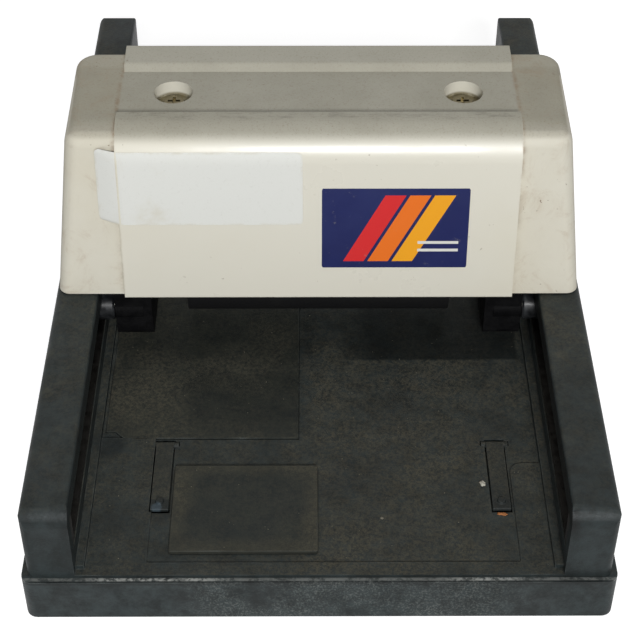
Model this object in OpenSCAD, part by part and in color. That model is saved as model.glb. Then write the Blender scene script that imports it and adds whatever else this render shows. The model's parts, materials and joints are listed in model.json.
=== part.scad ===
// Flat-bed sales slip imprinter: a dark moulded base with two side rails and a cream
// carriage that slides along them and rolls a platen over the card and the slip.
// Millimetres. Origin under the middle of the base on the table, front at -Y, up +Z.

/* [View] */
// Piece to draw

/* [Base] */
// Width over the two rails
base_w = 172.8; // [150:0.1:200]
// Length of the bottom pan, front to rear
base_l = 258.2; // [220:0.1:320]
// How far the pan stands out past the deck all round
pan_lip = 1.9; // [0.4:0.1:3]
// Height of the pan from its underside to its rim
pan_h = 16; // [12:0.5:24]
// Thickness of the pan walls
pan_wall = 2.6; // [1.8:0.1:4]
// Thickness of the pan floor
pan_floor = 2.4; // [1.8:0.1:4]
// Corner radius of the pan seen from above
pan_corner = 3.5; // [2.5:0.5:9]
// Height of the table gap held open by the feet
foot_gap = 1.6; // [1:0.1:4]
// Diameter of a rubber foot
foot_d = 14; // [8:0.5:20]
// Depth of the pocket that a foot is stuck in
foot_pocket = 1; // [0.6:0.1:1.4]
// Distance from the side of the pan to a foot centre
foot_inset = 18; // [14:0.5:30]
// Distance from the front or rear of the pan to a foot centre
foot_set = 31; // [24:0.5:50]
// Distance from the inner face of a rail to the case screws
screw_inset = 8; // [6:0.5:12]
// Distance from the front or rear of the deck to the end case screws
screw_set = 12; // [9:0.5:20]

/* [Deck] */
// Thickness of the deck plate
deck_t = 2.8; // [2.2:0.1:4]
// Height of the deck edge that shows above the pan rim
deck_edge = 1.2; // [0.6:0.1:2]
// Width of a side rail
rail_w = 14.2; // [12.5:0.1:18]
// Height of a rail above the bed
rail_h = 26.3; // [24:0.1:34]
// Wall thickness of the deck moulding
deck_wall = 2.4; // [1.8:0.1:3]
// Radius over the front end of a rail
rail_nose = 6; // [3:0.5:10]
// Radius of the outer top edge of a rail and of the upright corners of the deck
rail_round = 2.5; // [1:0.1:4]
// Height of the stop block above the rail top
stop_rise = 9; // [5:0.5:14]
// Length of the stop block at the rear end of a rail
stop_l = 30; // [20:1:40]
// Radius over the front end of a stop block
stop_nose = 3; // [1:0.5:6]
// Width of the ledge along the foot of each rail
ledge_w = 2.6; // [1:0.1:4]
// Height of that ledge above the bed
ledge_h = 1.6; // [0.8:0.1:2.4]

/* [Bed] */
// Depth of the slip recess in the bed
recess_d = 0.7; // [0.4:0.1:1.2]
// Distance from the front edge of the deck to the slip recess
recess_front = 4.8; // [4:0.1:12]
// Width of the narrow front part of the slip recess
recess_w = 111.5; // [90:0.5:125]
// How far the recess is set to the right of the middle
recess_shift = 4.2; // [0:0.1:8]
// Length of the narrow front part of the slip recess
recess_neck = 40; // [30:0.5:60]
// Length of the wide part behind it
recess_l = 150; // [120:1:180]
// Width of the merchant plate
merchant_w = 44.8; // [30:0.1:60]
// Length of the merchant plate
merchant_l = 35; // [20:0.1:40]
// Height of the merchant plate above the recess floor
merchant_h = 1.4; // [0.8:0.1:2]
// Gap between the left tab and the merchant plate
merchant_gap = 1.05; // [0.8:0.05:4]
// Gap between the merchant plate and the front of the recess
merchant_front = 3.7; // [2:0.1:10]
// Width of the card plate
card_w = 62; // [50:0.5:66]
// Length of the card plate
card_l = 92; // [60:0.5:120]
// Gap between the left ledge and the card plate
card_side = 1; // [0.6:0.1:3]
// Thickness of the card plate
card_t = 0.9; // [0.5:0.1:1.5]
// Distance from the front edge of the deck to the card plate
card_front = 56.2; // [50:0.1:80]
// Cut across the front left corners of the card plate
card_cut = 3; // [1:0.5:8]
// Width of a form tab
tab_w = 5.6; // [4:0.1:8]
// Length of a form tab
tab_l = 28.9; // [20:0.1:36]
// Thickness of a form tab
tab_t = 1.3; // [1:0.1:2]
// Gap around a form tab
tab_gap = 0.4; // [0.3:0.05:1]
// How far the front end of a tab stands above the bed
tab_rise = 0.6; // [0.3:0.1:0.8]
// Distance from the front edge of the deck to the hinge of the tabs
tab_hinge = 54.1; // [40:0.1:70]
// Distance between the centres of the two tabs
tab_span = 105.2; // [90:0.2:115]
// How far the pair of tabs is set to the right of the middle
tab_shift = 3.5; // [0:0.1:8]
// Diameter of the finger nub on a tab
nub_d = 3.2; // [2:0.1:4.5]

/* [Carriage] */
// Length of the head along the rails at its bottom
head_l = 62.9; // [52:0.1:80]
// Width of the head at its bottom
head_w = 170.6; // [150:0.1:198]
// Height of the end caps of the head
head_h = 56.6; // [48:0.1:70]
// Gap between the rail tops and the head
head_gap = 0.6; // [0.4:0.1:2]
// Backward lean of the front face
front_lean = 8; // [4:0.5:14]
// Forward lean of the rear face
rear_lean = 6; // [2:0.5:12]
// Inward lean of each side face
side_lean = 5.9; // [2:0.1:10]
// Wall thickness of the head
head_wall = 2.6; // [2:0.1:3.6]
// Radius of the front top corners of the head
head_round = 4.8; // [3.2:0.1:8]
// Radius of the front corners at the bottom of the head
head_corner = 4; // [3.2:0.1:8]
// Radius of the rear corners of the head seen from above
head_rear = 7; // [5:0.1:12]
// Radius of the top edge round the rear corners
head_edge = 2.4; // [1:0.1:4]
// Width of the raised centre band
band_w = 126.4; // [90:0.1:140]
// Height of the band above the end caps
band_rise = 2.6; // [1:0.1:4]
// Radius over the front top edge of the band
band_nose = 12; // [6:0.5:16]
// Length of the hand channel across the top
channel_l = 25.6; // [18:0.1:30]
// Length of the ridge behind the hand channel
ridge_l = 11.6; // [8:0.1:18]
// Height of the ridge above the end caps
ridge_rise = 2.4; // [1:0.1:4]
// How far the ridge stands out behind the end caps
ridge_back = 1; // [0.4:0.1:2]
// Diameter of the two screw wells
well_d = 12.5; // [9:0.1:16]
// Depth of a screw well
well_depth = 5; // [3:0.1:8]
// Distance between the screw wells
well_span = 92.8; // [80:0.2:100]
// Distance of the screw wells behind the middle of the head
well_back = 1.6; // [-3:0.1:4]

/* [Running gear] */
// Diameter of a guide wheel
wheel_d = 10.4; // [8:0.1:12]
// Width of a guide wheel
wheel_w = 6.6; // [4:0.1:8]
// Height of the wheel axes above the bed
wheel_rise = 13.8; // [12:0.1:16]
// Distance between the front and the rear wheel axes
wheel_base = 43; // [36:0.5:50]
// Diameter of a wheel pin
pin_d = 4; // [3:0.1:5]
// Thickness of a steel track
track_t = 1; // [0.6:0.1:1.5]
// Clearance between a wheel and its track
track_gap = 0.35; // [0.3:0.05:0.8]
// Width of a side bracket
bracket_w = 12.3; // [10:0.1:13]
// Length of a side bracket
bracket_l = 51; // [49:0.5:54]
// Gap between a bracket and the bed
bracket_gap = 2.9; // [2.4:0.1:5]
// Gap between the rail wall and a bracket
bracket_side = 4; // [1.5:0.1:6]
// Wall thickness of a bracket
bracket_wall = 3; // [2:0.1:4]
// Height of the frame plate above the bed
frame_rise = 49; // [44:0.5:56]
// Thickness of the frame plate
frame_t = 2; // [1.5:0.1:3]
// Diameter of the frame posts that take the head screws
post_d = 9; // [7:0.1:12]
// Depth of the folded edges of the frame plate
frame_fold = 6; // [4:0.5:10]
// Width of a window in the frame plate
window_w = 16; // [8:0.5:20]
// Length of a window in the frame plate
window_l = 22; // [8:0.5:26]
// Distance between the windows in the frame plate
window_step = 26; // [22:0.5:30]
// Forward travel of the carriage from its rest place
travel_front = 92; // [60:1:96]
// Backward travel of the carriage from its rest place
travel_rear = 62; // [40:1:66]

/* [Platen] */
// Diameter of the platen roller
platen_d = 24; // [18:0.5:28]
// How much shorter the platen roller is than the base is wide
platen_short = 83.8; // [78:0.1:100]
// Thickness of the rubber sleeve
sleeve_t = 4; // [2:0.1:6]
// Space under the roller for a card and a slip, above the merchant plate
nip = 1.2; // [0.6:0.1:1.5]
// Diameter of the roller shaft and of the cradle shaft
shaft_d = 6; // [5:0.1:8]
// Thickness of a cradle arm
arm_t = 3; // [2:0.1:4]
// Distance of the roller axis behind the middle of the head
platen_y = -6; // [-10:0.5:0]
// Distance of the cradle shaft behind the middle of the head
cradle_y = 15; // [12:0.5:18]
// Height of the cradle shaft above the roller axis
cradle_rise = 17.5; // [12:0.5:22]
// Length of a pressure spring along the cradle shaft
spring_l = 8; // [5:0.5:16]
// Thickness of the spring wire
coil_d = 1.1; // [0.8:0.1:1.6]

/* [Fits] */
// Radial clearance of a turning shaft or wheel
run_fit = 0.05; // [0.02:0.01:0.1]
// Clearance between pieces that lie side by side
side_fit = 0.3; // [0.2:0.05:0.5]
// Shank diameter of the case screws
screw_d = 3; // [2.5:0.1:4]
// Head diameter of the case screws
screw_head_d = 6; // [5:0.1:7]
// Head height of the case screws
screw_head_h = 1.2; // [0.8:0.1:2]
// Shank diameter of the two head screws
cap_screw_d = 4; // [3:0.1:5]
// Head diameter of the two head screws
cap_screw_head = 8; // [6:0.1:9]
// Head height of the two head screws
cap_screw_rise = 1.8; // [1.2:0.1:2.5]
// Length of the screws in the frame posts and in the brackets
thread_l = 10; // [6:0.5:12]
// Space left past the tip of a screw
tip_gap = 2; // [1:0.1:3]
// Gap between a wheel and the bumper at the end of its travel
bumper_gap = 0.4; // [0.3:0.05:1]

/* [Hidden] */
$fn = 48;
eps = 0.01;          // overlap of a cutting tool past the face it cuts
deep = 400;          // longer than any cut through the object
bevel = 0.6;         // small bevels and edge radii

// Heights
pan_z = foot_gap;
rim_z = pan_z + pan_h;
floor_z = pan_z + pan_floor;
bed_z = rim_z + deck_edge;
deck_bottom = bed_z - deck_t;
recess_z = bed_z - recess_d;
rail_z = bed_z + rail_h;
stop_z = rail_z + stop_rise;
wheel_z = bed_z + wheel_rise;
head_z = rail_z + head_gap;
cap_z = head_z + head_h;
band_z = cap_z + band_rise;
well_z = cap_z - well_depth;
well_floor = well_z - head_wall;
bracket_z = bed_z + bracket_gap;
frame_z = bed_z + frame_rise;
frame_top = frame_z + frame_t;
merchant_z = recess_z + merchant_h;
platen_z = merchant_z + nip + platen_d / 2;
cradle_z = platen_z + cradle_rise;

// Plan
deck_l = base_l - 2 * pan_lip;
pan_w = base_w + 2 * pan_lip;
front_y = -deck_l / 2;
rail_out = base_w / 2;
rail_in = rail_out - rail_w;
ledge_x = rail_in - ledge_w;
stop_y = deck_l / 2 - stop_l;
recess_y = front_y + recess_front;
recess_x0 = recess_shift - recess_w / 2;
recess_x1 = recess_shift + recess_w / 2;
wide_y0 = recess_y + recess_neck;
merchant_x = tab_shift - tab_span / 2 + tab_w / 2 + merchant_gap;
merchant_y = recess_y + merchant_front;
tab_y = front_y + tab_hinge;
card_x0 = card_side - ledge_x;
card_x1 = card_x0 + card_w;
recess_r = 2;

// Head seen from the side
head_y0 = -head_l / 2;
head_y1 = head_l / 2;
cap_y0 = head_y0 + head_h * tan(front_lean);
cap_y1 = head_y1 - head_h * tan(rear_lean);
cap_x = head_w / 2 - head_h * tan(side_lean);

// Running gear
bracket_out = rail_in - bracket_side;
bracket_in = bracket_out - bracket_w;
wheel_r = wheel_d / 2;
wheel_x0 = bracket_out + side_fit;
wheel_x1 = wheel_x0 + wheel_w;
pin_head_t = 1;
pin_head_d = 1.6 * pin_d;
pin_room = 1;
bumper_l = 4;
groove_out = wheel_x1 + side_fit + pin_head_t + pin_room;
groove_z0 = wheel_z - wheel_r - track_gap - track_t;
groove_z1 = wheel_z + wheel_r + 2 * track_gap;
groove_y0 = -wheel_base / 2 - wheel_r - travel_front - bumper_gap - bumper_l;
groove_y1 = wheel_base / 2 + wheel_r + travel_rear + bumper_gap + bumper_l;
platen_l = base_w - platen_short;

// A polygon whose corners [x, y, r] are rounded, each by its own radius
function way(a, b) = (b - a) / norm(b - a);
function corner(a, b, c, r, n) =
    let (u = way(b, a), v = way(b, c), half = acos(u * v) / 2,
         m = b + way([0, 0], u + v) * r / sin(half),
         s = b + u * r / tan(half) - m, e = b + v * r / tan(half) - m,
         a0 = atan2(s[1], s[0]), turn = (atan2(e[1], e[0]) - a0 + 540) % 360 - 180)
    [for (i = [0:n]) m + r * [cos(a0 + turn * i / n), sin(a0 + turn * i / n)]];
function flat(p) = [p[0], p[1]];
function rounded(p, n = 6) =
    [for (i = [0:len(p) - 1])
        let (k = len(p), a = flat(p[(i + k - 1) % k]), b = flat(p[i]), c = flat(p[(i + 1) % k]))
        each (p[i][2] > 0 ? corner(a, b, c, p[i][2], n) : [b])];
function box_corners(x0, x1, y0, y1, r) = [[x0, y0, r], [x1, y0, r], [x1, y1, r], [x0, y1, r]];

// Extrudes an outline drawn as [y, z] from x0 to x1
module across(x0, x1) {
    translate([x0, 0, 0]) rotate([90, 0, 90]) linear_extrude(x1 - x0) children();
}

// Extrudes an outline drawn as [x, z] from y0 to y1
module along(y0, y1) {
    translate([0, y1, 0]) rotate([90, 0, 0]) linear_extrude(y1 - y0) children();
}

// A block between two corners
module block(x0, x1, y0, y1, z0, z1) {
    translate([x0, y0, z0]) cube([x1 - x0, y1 - y0, z1 - z0]);
}

// A cylinder lying along X from x0 to x1
module axle(x0, x1, y, z, d) {
    translate([x0, y, z]) rotate([0, 90, 0]) cylinder(d = d, h = x1 - x0);
}

// The same on both sides
module both_sides() {
    children();
    mirror([1, 0, 0]) children();
}

// ---- Base ----

plug_inset = max(pan_wall + side_fit, pan_lip + deck_wall);
screw_x = rail_in - screw_inset;
screw_y = deck_l / 2 - screw_set;
module at_case_screws() {
    for (x = [-screw_x, screw_x], y = [-screw_y, 0, screw_y]) translate([x, y, 0]) children();
}

module at_feet() {
    for (x = [-1, 1], y = [-1, 1])
        translate([x * (pan_w / 2 - foot_inset), y * (base_l / 2 - foot_set), 0]) children();
}

module pan_outline(inset) {
    polygon(rounded(box_corners(-pan_w / 2 + inset, pan_w / 2 - inset, -base_l / 2 + inset,
                                base_l / 2 - inset, max(pan_corner - inset, 0))));
}

module base_pan() {
    color([0.20, 0.22, 0.22]) difference() {
        translate([0, 0, pan_z]) linear_extrude(pan_h) pan_outline(0);
        translate([0, 0, floor_z]) linear_extrude(pan_h) pan_outline(pan_wall);
        at_case_screws() {
            translate([0, 0, pan_z - eps]) cylinder(d = screw_head_d + 2 * side_fit, h = screw_head_h + eps);
            translate([0, 0, pan_z]) cylinder(d = screw_d + 2 * side_fit, h = pan_h);
        }
        at_feet() translate([0, 0, pan_z - eps]) cylinder(d = foot_d, h = foot_pocket + eps);
    }
}

module rubber_feet() {
    color([0.08, 0.08, 0.08]) at_feet() rotate_extrude()
        polygon([[0, 0], [foot_d / 2 - foot_gap / 2 - side_fit, 0], [foot_d / 2 - side_fit, foot_gap / 2],
                 [foot_d / 2 - side_fit, foot_gap], [foot_d / 2, foot_gap],
                 [foot_d / 2, foot_gap + foot_pocket], [0, foot_gap + foot_pocket]]);
}

module case_screws() {
    color([0.62, 0.62, 0.60]) at_case_screws() {
        difference() {
            translate([0, 0, pan_z]) cylinder(d = screw_head_d, h = screw_head_h);
            translate([0, 0, pan_z]) cross_slot(screw_head_d / 2, screw_head_h / 2);
        }
        translate([0, 0, pan_z + screw_head_h])
            cylinder(d = screw_d, h = deck_bottom - tip_gap - pan_z - screw_head_h);
    }
}

// Side view of a rail: a rounded nose in front, a raised stop block at the rear
module rail_side() {
    polygon(rounded([[-deck_l / 2, rim_z, 0], [-deck_l / 2, rail_z, rail_nose], [deck_l / 2, rail_z, 0],
                     [deck_l / 2, rim_z, 0]], 10));
}

module stop_side() {
    polygon(rounded([[stop_y, rail_z - rail_round, 0], [stop_y, stop_z, stop_nose],
                     [deck_l / 2, stop_z, stop_nose / 4], [deck_l / 2, rail_z - rail_round, 0]]));
}

// The deck seen from above
module deck_plan() {
    polygon(rounded(box_corners(-rail_out, rail_out, -deck_l / 2, deck_l / 2, rail_round)));
}

module rail_section(z0, z1) {
    polygon(rounded([[rail_in, z0, 0], [rail_in, z1, rail_round / 2], [rail_out, z1, rail_round],
                     [rail_out, z0, 0]]));
}

module rail_solid() {
    intersection() {
        along(-deck_l / 2, deck_l / 2) rail_section(rim_z, rail_z);
        across(rail_in, rail_out) rail_side();
        translate([0, 0, rim_z]) linear_extrude(deep) deck_plan();
    }
    intersection() {
        along(stop_y, deck_l / 2) rail_section(rail_z - rail_round, stop_z);
        across(rail_in, rail_out) stop_side();
        translate([0, 0, rim_z]) linear_extrude(deep) deck_plan();
    }
    block(ledge_x, rail_in + eps, -deck_l / 2 + deck_wall, deck_l / 2, bed_z - eps, bed_z + ledge_h);
}

// The wheel groove, open to the inside, and the hollow that keeps the rail walls even
module rail_cuts() {
    block(rail_in - eps, groove_out, groove_y0, groove_y1, groove_z0, groove_z1);
    block(rail_in + deck_wall, rail_out - deck_wall, -deck_l / 2 + deck_wall + rail_nose,
          deck_l / 2 - deck_wall, deck_bottom - deep, groove_z0 - deck_wall);
    block(groove_out + deck_wall, rail_out - deck_wall, -deck_l / 2 + deck_wall + rail_nose,
          deck_l / 2 - deck_wall, groove_z0 - deck_wall - eps, rail_z - deck_wall);
}

module at_tabs() {
    for (s = [-1, 1]) translate([tab_shift + s * tab_span / 2, tab_y, 0]) children();
}

barrel_d = 2.6;
barrel_side = 1.5;
barrel_drop = 0.2;
pocket_t = 1.2;
barrel_l = tab_w + 2 * barrel_side;
barrel_z = bed_z - deck_t / 2 - barrel_drop;
pocket_z = barrel_z - barrel_d / 2 - 2 * run_fit;

module tab_slot() {
    block(-tab_w / 2 - tab_gap, tab_w / 2 + tab_gap, -tab_l - tab_gap, barrel_d / 2 + tab_gap,
          pocket_z, bed_z + eps);
    axle(-barrel_l / 2 - side_fit, barrel_l / 2 + side_fit, 0, barrel_z, barrel_d + 4 * run_fit);
}

// The closed pocket under a tab, wider round the ends of its barrel
module tab_pocket() {
    side = tab_w / 2 + tab_gap + pocket_t;
    end = barrel_l / 2 + side_fit + pocket_t;
    block(-side, side, -tab_l - tab_gap - pocket_t, 0, pocket_z - pocket_t, deck_bottom + eps);
    block(-end, end, -barrel_d, barrel_d, pocket_z - pocket_t, deck_bottom + eps);
}

module slip_recess() {
    translate([0, 0, recess_z]) linear_extrude(deep) {
        polygon(rounded([[recess_x0, recess_y, bevel], [recess_x1, recess_y, bevel],
                         [recess_x1, wide_y0, 2 * recess_r], [ledge_x, wide_y0, 0],
                         [ledge_x, recess_y + recess_l, recess_r], [-ledge_x, recess_y + recess_l, recess_r],
                         [-ledge_x, front_y + card_front, 0], [recess_x0, front_y + card_front, recess_r]]));
    }
}

module deck() {
    color([0.15, 0.16, 0.15]) difference() {
        union() {
            translate([0, 0, rim_z]) linear_extrude(deck_edge) deck_plan();
            translate([0, 0, deck_bottom]) linear_extrude(deck_t - deck_edge + eps)
                pan_outline(plug_inset);
            both_sides() rail_solid();
            at_case_screws() translate([0, 0, floor_z])
                cylinder(d = screw_d + 2 * deck_wall, h = deck_bottom - floor_z + eps);
            at_tabs() tab_pocket();
        }
        both_sides() rail_cuts();
        slip_recess();
        at_tabs() tab_slot();
        at_case_screws() translate([0, 0, floor_z - eps])
            cylinder(d = screw_d + 2 * run_fit, h = deck_bottom - floor_z);
        card_pocket();
    }
}

module track() {
    block(rail_in + side_fit, groove_out - side_fit, groove_y0 + bumper_l + side_fit,
          groove_y1 - bumper_l - side_fit, groove_z0, groove_z0 + track_t);
}

module left_track() {
    color([0.5, 0.5, 0.5]) mirror([1, 0, 0]) track();
}

module right_track() {
    color([0.5, 0.5, 0.5]) track();
}

module track_bumpers() {
    color([0.07, 0.07, 0.07]) both_sides() for (y = [groove_y0, groove_y1 - bumper_l])
        block(rail_in + side_fit, groove_out, y, y + bumper_l, groove_z0, groove_z1);
}

module merchant_plate() {
    color([0.17, 0.17, 0.16]) translate([0, 0, recess_z]) linear_extrude(merchant_h)
        polygon(rounded(box_corners(merchant_x, merchant_x + merchant_w, merchant_y,
                                    merchant_y + merchant_l, bevel)));
}

module card_outline(gap) {
    y0 = front_y + card_front;
    polygon([[card_x0 - gap, y0 + card_cut - gap], [card_x0 + card_cut, y0 + card_cut - gap],
             [card_x0 + 2 * card_cut, y0 - gap], [card_x1 + gap, y0 - gap],
             [card_x1 + gap, y0 + card_l + gap], [card_x0 - gap, y0 + card_l + gap]]);
}

module card_pocket() {
    translate([0, 0, recess_z - card_t / 2]) linear_extrude(deep) card_outline(side_fit);
}

module card_plate() {
    color([0.18, 0.18, 0.17]) translate([0, 0, recess_z - card_t / 2]) linear_extrude(card_t) card_outline(0);
}

// A sprung tab on its barrel: it rises towards its front end, where the nub is
module form_tab() {
    back = bed_z - barrel_z;
    front = back + tab_rise;
    across(-tab_w / 2, tab_w / 2)
        polygon(rounded([[0, back, 0], [-tab_l, front, tab_t / 3], [-tab_l, front - tab_t, tab_t / 3],
                         [0, back - tab_t, 0]], 4));
    axle(-barrel_l / 2, barrel_l / 2, 0, 0, barrel_d);
    translate([0, -tab_l + nub_d, back]) cylinder(d1 = nub_d, d2 = 0.7 * nub_d, h = 2 * tab_rise);
}

module left_form_tab() {
    color([0.13, 0.13, 0.13]) translate([tab_shift - tab_span / 2, tab_y, barrel_z]) form_tab();
}

module right_form_tab() {
    color([0.13, 0.13, 0.13]) translate([tab_shift + tab_span / 2, tab_y, barrel_z]) form_tab();
}

// ---- Carriage ----

// A disc with a rounded rim that hangs down from z = 0
module puck(plan_r, edge_r) {
    translate([0, 0, -edge_r]) rotate_extrude($fn = 32)
        translate([plan_r - edge_r, 0]) circle(edge_r, $fn = 24);
}

// The head as a loft from its bottom outline to the rounded top edges, drawn in by a wall
module head_loft(wall, z0) {
    z1 = cap_z - wall;
    low_x = head_w / 2 - (z0 - head_z) * tan(side_lean) - wall;
    low_y0 = head_y0 + (z0 - head_z) * tan(front_lean) + wall;
    low_y1 = head_y1 - (z0 - head_z) * tan(rear_lean) - wall;
    top_x = cap_x + wall * tan(side_lean) - wall;
    top_y0 = cap_y0 - wall * tan(front_lean) + wall;
    top_y1 = cap_y1 + wall * tan(rear_lean) - wall;
    low_r = head_corner - wall;
    top_r = head_round - wall;
    rear_r = head_rear - wall;
    edge_r = max(head_edge - wall, head_edge / 4);
    hull() for (x = [-1, 1]) {
        translate([x * (low_x - low_r), low_y0 + low_r, z0]) cylinder(r = low_r, h = eps, $fn = 32);
        translate([x * (low_x - rear_r), low_y1 - rear_r, z0]) cylinder(r = rear_r, h = eps, $fn = 32);
        translate([x * (top_x - top_r), top_y0 + top_r, z1 - top_r]) sphere(r = top_r, $fn = 32);
        translate([x * (top_x - rear_r), top_y1 - rear_r, z1]) puck(rear_r, edge_r);
    }
}

// Side view of the centre band: a proud front face, a rounded nose, and a step down to the channel
module band_side() {
    nose_y = well_back - channel_l / 2 - band_rise / 2;
    proud = band_rise / cos(front_lean);
    polygon(rounded([[head_y0 - proud, head_z + side_fit, bevel],
                     [cap_y0 - proud + band_rise * tan(front_lean), band_z, band_nose],
                     [nose_y, band_z, band_rise / 3], [nose_y, cap_z - head_wall, 0],
                     [head_y0 + head_wall / 2, head_z + side_fit, 0]], 12));
}

// Side view of the ridge: a slope up from the channel, a crowned top and a proud rear face
module ridge_side() {
    y1 = cap_y1 + ridge_back - ridge_rise * tan(rear_lean);
    y0 = y1 - ridge_l;
    z1 = cap_z + ridge_rise;
    polygon(rounded([[y0 - ridge_rise / 2, cap_z - head_wall, 0], [y0 - ridge_rise / 2, cap_z, 0],
                     [y0 + ridge_rise / 2, z1 - ridge_rise / 6, ridge_rise], [y1, z1, ridge_rise / 2],
                     [head_y1 + ridge_back, head_z + side_fit, bevel],
                     [head_y1 - head_wall / 2, head_z + side_fit, 0]]));
}

module at_wells() {
    for (x = [-1, 1]) translate([x * well_span / 2, well_back, 0]) children();
}

module head_shell() {
    color([0.82, 0.81, 0.76]) difference() {
        union() {
            difference() {
                union() {
                    head_loft(0, head_z);
                    across(-band_w / 2, band_w / 2) band_side();
                    across(-band_w / 2, band_w / 2) ridge_side();
                }
                head_loft(head_wall, head_z - eps);
            }
            at_wells() translate([0, 0, well_floor])
                cylinder(d = well_d + 2 * head_wall, h = cap_z - well_floor - head_wall / 2);
        }
        at_wells() {
            translate([0, 0, well_z]) cylinder(d = well_d, h = deep);
            cylinder(d = cap_screw_d + 2 * side_fit, h = cap_z);
        }
    }
}

// A cross slot for a screwdriver in a screw head, cut down from its top
module cross_slot(width, depth) {
    for (a = [0, 90]) rotate(a)
        translate([-width / 2, -width / 8, -depth]) cube([width, width / 4, 2 * depth]);
}

module head_screws() {
    color([0.6, 0.6, 0.58]) at_wells() {
        difference() {
            translate([0, 0, well_z])
                cylinder(d1 = cap_screw_head, d2 = 0.8 * cap_screw_head, h = cap_screw_rise);
            translate([0, 0, well_z + cap_screw_rise])
                cross_slot(cap_screw_head / 2, cap_screw_rise / 2);
        }
        translate([0, 0, well_floor - thread_l]) cylinder(d = cap_screw_d, h = head_wall + thread_l + eps);
    }
}

frame_x = bracket_out - frame_t / 2;
frame_y = bracket_l / 2 - screw_head_d;
module carriage_frame() {
    color([0.55, 0.56, 0.56]) difference() {
        union() {
            translate([0, 0, frame_z]) linear_extrude(frame_t)
                polygon(rounded(box_corners(-frame_x, frame_x, -frame_y, frame_y, 2 * frame_t)));
            for (y = [-frame_y, frame_y - frame_t])
                block(frame_t - bracket_in, bracket_in - frame_t, y, y + frame_t,
                      frame_z - frame_fold, frame_z + eps);
            at_wells() translate([0, 0, frame_top - eps])
                cylinder(d = post_d, h = well_floor - frame_top + eps);
        }
        at_wells() translate([0, 0, well_floor - thread_l - tip_gap])
            cylinder(d = cap_screw_d + 2 * run_fit, h = deep);
        at_bracket_screws() translate([0, 0, frame_z - eps])
            cylinder(d = screw_d + 2 * side_fit, h = frame_t + 2 * eps);
        for (x = [-1, 0, 1]) translate([x * window_step, 0, frame_z - eps]) linear_extrude(frame_t + 2 * eps)
            polygon(rounded(box_corners(-window_w / 2, window_w / 2, -window_l / 2, window_l / 2, frame_t)));
    }
}

module at_bracket_screws() {
    for (x = [-1, 1], y = [-1, 1])
        translate([x * (bracket_in + bracket_w / 2), y * (bracket_l / 2 - 2 * screw_head_d), 0]) children();
}

module bracket_screws() {
    color([0.6, 0.6, 0.58]) at_bracket_screws() {
        translate([0, 0, frame_top]) cylinder(d = screw_head_d, h = screw_head_h);
        translate([0, 0, frame_top - thread_l]) cylinder(d = screw_d, h = thread_l);
    }
}

// A moulded side block, open towards the rail, with bosses for the pins and the cradle shaft
module bracket() {
    y = bracket_l / 2;
    w = bracket_wall;
    low = [[-y, frame_z, 0], [-y, bracket_z, w], [y, bracket_z, w], [y, frame_z, 0]];
    roof = frame_z - thread_l;
    difference() {
        union() {
            difference() {
                across(bracket_in, bracket_out) polygon(rounded(low));
                across(bracket_in + w, bracket_out + eps)
                    polygon(rounded(box_corners(-y + w, y - w, bracket_z + w, roof, w / 3)));
            }
            for (s = [-1, 1])
                axle(bracket_in + w - eps, bracket_out, s * wheel_base / 2, wheel_z, pin_head_d + w);
            axle(bracket_in + w - eps, bracket_out - w / 2, cradle_y, cradle_z, shaft_d + 2 * w);
            block(bracket_in + w - eps, bracket_out - w / 3, -w / 3, w / 3, bracket_z + w - eps, roof + eps);
        }
        for (s = [-1, 1])
            axle(bracket_in + w, bracket_out + eps, s * wheel_base / 2, wheel_z, pin_d);
        axle(bracket_in - eps, shaft_end, cradle_y, cradle_z, shaft_d);
        at_bracket_screws() translate([0, 0, roof + w / 3]) cylinder(d = screw_d + 2 * run_fit, h = thread_l);
    }
}

shaft_end = bracket_out - 4 * bracket_wall / 3;

module right_bracket() {
    color([0.12, 0.12, 0.12]) bracket();
}

module left_bracket() {
    color([0.12, 0.12, 0.12]) mirror([1, 0, 0]) bracket();
}

module wheel_pins() {
    color([0.65, 0.65, 0.64]) both_sides() for (s = [-1, 1]) {
        axle(bracket_in + bracket_wall, wheel_x1 + side_fit, s * wheel_base / 2, wheel_z, pin_d);
        axle(wheel_x1 + side_fit, wheel_x1 + side_fit + pin_head_t, s * wheel_base / 2, wheel_z, pin_head_d);
    }
}

dish = 0.8;

// A wheel turned from one section, with a dished outer face
module guide_wheel(side, end) {
    half = wheel_w / 2;
    bore_r = pin_d / 2 + run_fit;
    translate([side * (wheel_x0 + half), end * wheel_base / 2, wheel_z]) rotate([0, side * 90, 0])
        rotate_extrude() polygon([[bore_r, -half], [wheel_r - bevel, -half], [wheel_r, -half + bevel],
            [wheel_r, half - bevel], [wheel_r - bevel, half], [wheel_r - 2 * bevel, half],
            [wheel_r - 2.5 * bevel, half - dish], [bore_r + 1.5 * bevel, half - dish],
            [bore_r + bevel, half], [bore_r, half]]);
}

module left_front_wheel() {
    color([0.05, 0.05, 0.05]) guide_wheel(-1, -1);
}

module left_rear_wheel() {
    color([0.05, 0.05, 0.05]) guide_wheel(-1, 1);
}

module right_front_wheel() {
    color([0.05, 0.05, 0.05]) guide_wheel(1, -1);
}

module right_rear_wheel() {
    color([0.05, 0.05, 0.05]) guide_wheel(1, 1);
}

// ---- Platen roller and its sprung cradle ----

clip_t = 0.8;
core_end = 0.5;
bush_t = 1.5;
bush_flange = 0.8;
tube_t = 2;
arm_rim = 2;
arm_in = platen_l / 2 + core_end + side_fit;
arm_out = arm_in + arm_t;
bush_d = shaft_d + 2 * bush_t;
core_d = platen_d - 2 * sleeve_t;
tube_d = shaft_d + 2 * tube_t;
arm_end = bush_d / 2 + arm_rim;
clip_x = arm_out + bush_flange + side_fit;

// Side view of a cradle arm, from the cradle shaft down to the roller shaft
module arm_side() {
    hull() {
        translate([cradle_y, cradle_z]) circle(arm_end);
        translate([platen_y, platen_z]) circle(arm_end);
    }
}

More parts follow.
